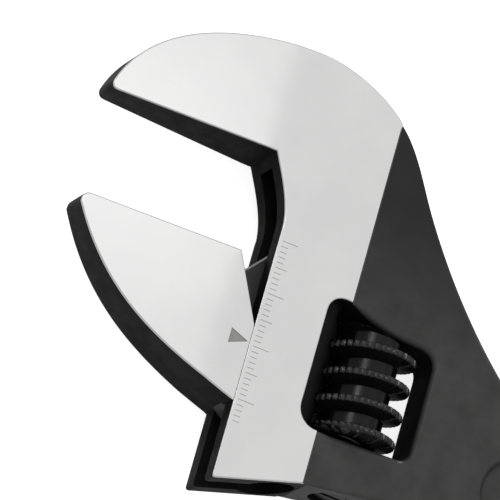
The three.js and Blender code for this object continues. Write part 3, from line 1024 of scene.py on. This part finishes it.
def make_body():
    plate = Plate(half_thickness)
    pins = (STEP_LOW, STEP_HIGH)
    outline, window = body_outline(), window_outline()
    plate.edge(outline, lambda p: body_rounding(p, False), False, pins)
    plate.edge(window, lambda p: body_rounding(p, True), True, pins)
    plate.edge(eye_outline(), lambda p: 0.9, True)
    plate.sink(panel_outline(), PANEL_PROFILE)
    for x in pins:
        for low in (False, True):
            rim = Vector((x, nearest_y(outline, x, low) + (0.6 if low else -0.6)))
            brim = Vector((x, nearest_y(window, x, low) + (-0.5 if low else 0.5)))
            plate.crease(*((brim, rim) if low else (rim, brim)))
    plate.fill()
    body = make_object("wrench_body_forging", plate.verts, plate.faces, BODY_FINISHES, body_tones(plate))
    lift = OPENING - CLEARANCE + 0.5
    foot = -64
    wide = RACK_RADIUS + CLEARANCE
    bore = [(wide, foot), (wide, RACK_TOP + lift + CLEARANCE)]
    join_solids(body, turned("bore", bore, BODY_FINISHES, 72, RACK_X, EDGE), "DIFFERENCE")
    roof = [(x, y + lift) for x, y in WEB_TOP]
    roof[0] = (-12, roof[0][1])
    half = WEB_HALF + CLEARANCE
    sides = roof + [(RACK_X, foot), (-12, foot)]
    slot = slab("slot", sides, MID - half, MID + half, BODY_FINISHES, EDGE)
    join_solids(body, slot, "DIFFERENCE")
    wide = PIN_RADIUS + CLEARANCE
    hole = turned("pin hole", [(wide, -52.2), (wide, -18.1)], BODY_FINISHES, 40, tone=EDGE)
    join_solids(body, hole, "DIFFERENCE")
    wide = PIN_HEAD_RADIUS + CLEARANCE
    hole = turned("pin head hole", [(wide, -58), (wide, -48.9)], BODY_FINISHES, 48, tone=EDGE)
    join_solids(body, hole, "DIFFERENCE")
    join_solids(body, scale_rule().make("scale cutter"), "DIFFERENCE")
    return body


def make_jaw():
    plate = Plate(half_thickness)
    plate.edge(jaw_outline(), lambda p: 0.08 if p.x > -0.2 else 0.26, False)
    plate.fill()
    tones = [EDGE if kind == "wall" else BRIGHT for kind in plate.tones]
    jaw = make_object("movable_jaw_forging", plate.verts, plate.faces, BODY_FINISHES, tones)
    foot = [(RACK_X, RACK_BOTTOM), (8, RACK_BOTTOM), (-1.5, -44.8), (-8, -40)]
    low, high = MID - WEB_HALF, MID + WEB_HALF
    # Its chamfers facing +Y take the light grey of the etched pointer as a painted highlight.
    web = slab("web", WEB_TOP + foot, low, high, BODY_FINISHES, SKIN, 0.3, MARK_AND_GLINT)
    join_solids(jaw, web, "UNION")
    chamfer = 0.5
    rod = [
        (RACK_RADIUS - chamfer, RACK_BOTTOM), (RACK_RADIUS, RACK_BOTTOM + chamfer),
        (RACK_RADIUS, RACK_TOP - chamfer), (RACK_RADIUS - chamfer, RACK_TOP),
    ]
    join_solids(jaw, turned("rack", rod, BODY_FINISHES, 72, RACK_X, EDGE), "UNION")
    gap = CLEARANCE
    widths = {
        **thread_start(RACK_BOTTOM, RACK_TOP), "Crest Radius": (WORM_RADIUS + gap) * MM,
        "Depth": (THREAD_DEPTH + gap) * MM, "Base Width": (THREAD_BASE + 2 * gap) * MM,
        "Crest Width": (THREAD_CREST + 2 * gap) * MM, "Corner": 0.3 * MM, "Notch Depth": 0.0,
        "Steps": 96, "Finish": BLACK_EDGE,
    }
    join_solids(jaw, THREAD.make("tooth cutter", widths), "DIFFERENCE")
    top = 2 * MID
    pointer = slab("pointer", POINTER, top - 0.15, top + 1, BODY_FINISHES, MARK_AND_GLINT)
    return join_solids(jaw, pointer, "DIFFERENCE")


def make_worm():
    slim = WORM_ROOT - 0.4
    core = [
        (slim, WORM_LOW), (WORM_ROOT, WORM_LOW + 0.45),
        (WORM_ROOT, WORM_HIGH - 0.45), (slim, WORM_HIGH),
    ]
    # The core takes the darker copy, painted shade between the thread's ridges.
    worm = turned("adjusting_worm_screw", core, [WORM_BLACK, WORM_CORE_SHADED], 96, tone=1)
    join_solids(worm, THREAD.make("thread"), "UNION")
    full = WORM_RADIUS + 0.2
    ends = [
        (full - 1.0, WORM_LOW), (full - 0.45, WORM_LOW + 0.3), (full, WORM_LOW + 1.0),
        (full, WORM_HIGH - 1.0), (full - 0.45, WORM_HIGH - 0.3), (full - 1.0, WORM_HIGH),
    ]
    join_solids(worm, turned("end limit", ends, [WORM_BLACK], 96), "INTERSECT")
    wide = PIN_RADIUS + CLEARANCE
    bore = [
        (wide + 0.3, WORM_LOW - 1), (wide + 0.3, WORM_LOW + 0.1), (wide, WORM_LOW + 0.4),
        (wide, WORM_HIGH - 0.4), (wide + 0.4, WORM_HIGH), (wide + 0.4, WORM_HIGH + 1),
    ]
    join_solids(worm, turned("worm bore", bore, [WORM_BLACK], 48), "DIFFERENCE")
    pocket = [
        (4.4, WORM_LOW - 1), (4.4, WORM_LOW), (4.2, WORM_LOW + 0.2), (4.2, WORM_LOW + 5.8),
    ]
    return join_solids(worm, turned("spring pocket", pocket, [WORM_BLACK], 64), "DIFFERENCE")


def make_pin():
    head = PIN_HEAD_RADIUS
    profile = [
        (head - 0.4, PIN_BOTTOM), (head - 0.13, PIN_BOTTOM + 0.08), (head, PIN_BOTTOM + 0.4),
        (head, PIN_HEAD_TOP - 0.2), (head - 0.2, PIN_HEAD_TOP), (PIN_RADIUS, PIN_HEAD_TOP),
        (PIN_RADIUS, PIN_TOP - 0.6), (PIN_RADIUS - 0.15, PIN_TOP - 0.2), (PIN_RADIUS - 0.6, PIN_TOP),
    ]
    pin = turned("worm_pin_screw", profile, [PIN_STEEL], 64)
    left, right, bottom, top = WORM_X - 4.5, WORM_X + 4.5, PIN_BOTTOM - 1.8, PIN_BOTTOM + 1.2
    corners = [(left, bottom), (right, bottom), (right, top), (left, top)]
    slot = slab("driver slot", corners, MID - 0.5, MID + 0.5, [PIN_STEEL])
    return join_solids(pin, slot, "DIFFERENCE")


THREAD = thread_rule()

PIECES = [
    (make_body(), "body", "wrench_body", "black_steel"),
    (make_jaw(), "jaw", "movable_jaw", "polished_steel"),
    (make_worm(), "worm", "adjusting_worm", "dark_steel"),
    (make_pin(), "body", "worm_pin", "plain_steel"),
    (coil_rule().make("worm_spring_coil"), "body", "worm_spring", "spring_steel"),
]
for piece, body_name, node, slot in PIECES:
    tidy_shading(piece)
    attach(piece, body_name)
    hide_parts(node)


# Camera, floor and light


def make_camera():
    """A long lens looks down at the head's face, from beyond the jaws and a little below them."""
    centre = Vector((-12.75, -19.0, 2 * MID)) * MM
    back = Vector((-0.301, -0.346, 0.888)).normalized()
    up = Vector((-0.3663, 0.902, 0.227))
    up = (up - back * up.dot(back)).normalized()
    right = up.cross(back)
    data = bpy.data.cameras.new("camera")
    data.sensor_width = 36
    data.lens = data.sensor_width * LENS_DISTANCE / (VIEW_WIDTH * MM)
    data.clip_start, data.clip_end = 0.05, 20
    camera = bpy.data.objects.new("camera", data)
    turn = Matrix((right, up, back)).transposed()
    camera.matrix_world = Matrix.Translation(centre + back * LENS_DISTANCE) @ turn.to_4x4()
    bpy.context.scene.collection.objects.link(camera)
    bpy.context.scene.camera = camera


def make_floor():
    half = 3.0
    level = cad_low[2] - 0.0004
    corners = [(-half, -half, level), (half, -half, level), (half, half, level), (-half, half, level)]
    mesh = bpy.data.meshes.new("floor")
    mesh.from_pydata(corners, [], [(0, 1, 2, 3)])
    floor = bpy.data.objects.new("floor", mesh)
    bpy.context.scene.collection.objects.link(floor)
    finish, tree, shader, place = start_finish("pale floor")
    haze = add_node(tree, "ShaderNodeTexNoise", Vector=place, Scale=3.0, Detail=2.0)
    colour = blend_colours(tree, haze.outputs["Fac"], grey(0.90), grey(0.92))
    fill_socket(tree, shader.inputs["Base Color"], colour)
    shader.inputs["Roughness"].default_value = 0.9
    shader.inputs["Specular IOR Level"].default_value = 0.1
    shader.inputs["Emission Color"].default_value = grey(FLOOR_GLOW)
    seen = tree.nodes.new("ShaderNodeLightPath").outputs["Is Camera Ray"]
    tree.links.new(seen, shader.inputs["Emission Strength"])
    mesh.materials.append(finish)


def make_light(name, direction, distance, size, power, target=(0.0, 0.0, 0.0)):
    data = bpy.data.lights.new(name, "AREA")
    data.shape = "RECTANGLE"
    data.size, data.size_y = size
    data.energy = power
    light = bpy.data.objects.new(name, data)
    away = Vector(direction).normalized()
    light.location = to_frame(*target) + away * distance
    light.rotation_euler = away.to_track_quat("Z", "Y").to_euler()
    bpy.context.scene.collection.objects.link(light)


def make_world(strength):
    world = bpy.data.worlds.new("studio")
    world.use_nodes = True
    sky = world.node_tree.nodes["Background"]
    sky.inputs["Color"].default_value = (1, 1, 1, 1)
    sky.inputs["Strength"].default_value = strength
    bpy.context.scene.world = world


make_camera()
make_floor()
make_world(0.55)
# Name, direction, distance and size in metres, power in watts, and the place it points at
make_light("key softbox", (0.30, 0.35, 0.89), 1.2, (1.3, 1.3), 2.05)
make_light("jaw softbox", (0.146, 0.346, 0.925), 0.17, (0.06, 0.06), 0.0062, (-36, -10, 10))
make_light("strip softbox", (-0.35, 0.346, 0.87), 1.0, (0.12, 0.5), 1.1)
bpy.context.scene.view_settings.view_transform = "Standard"
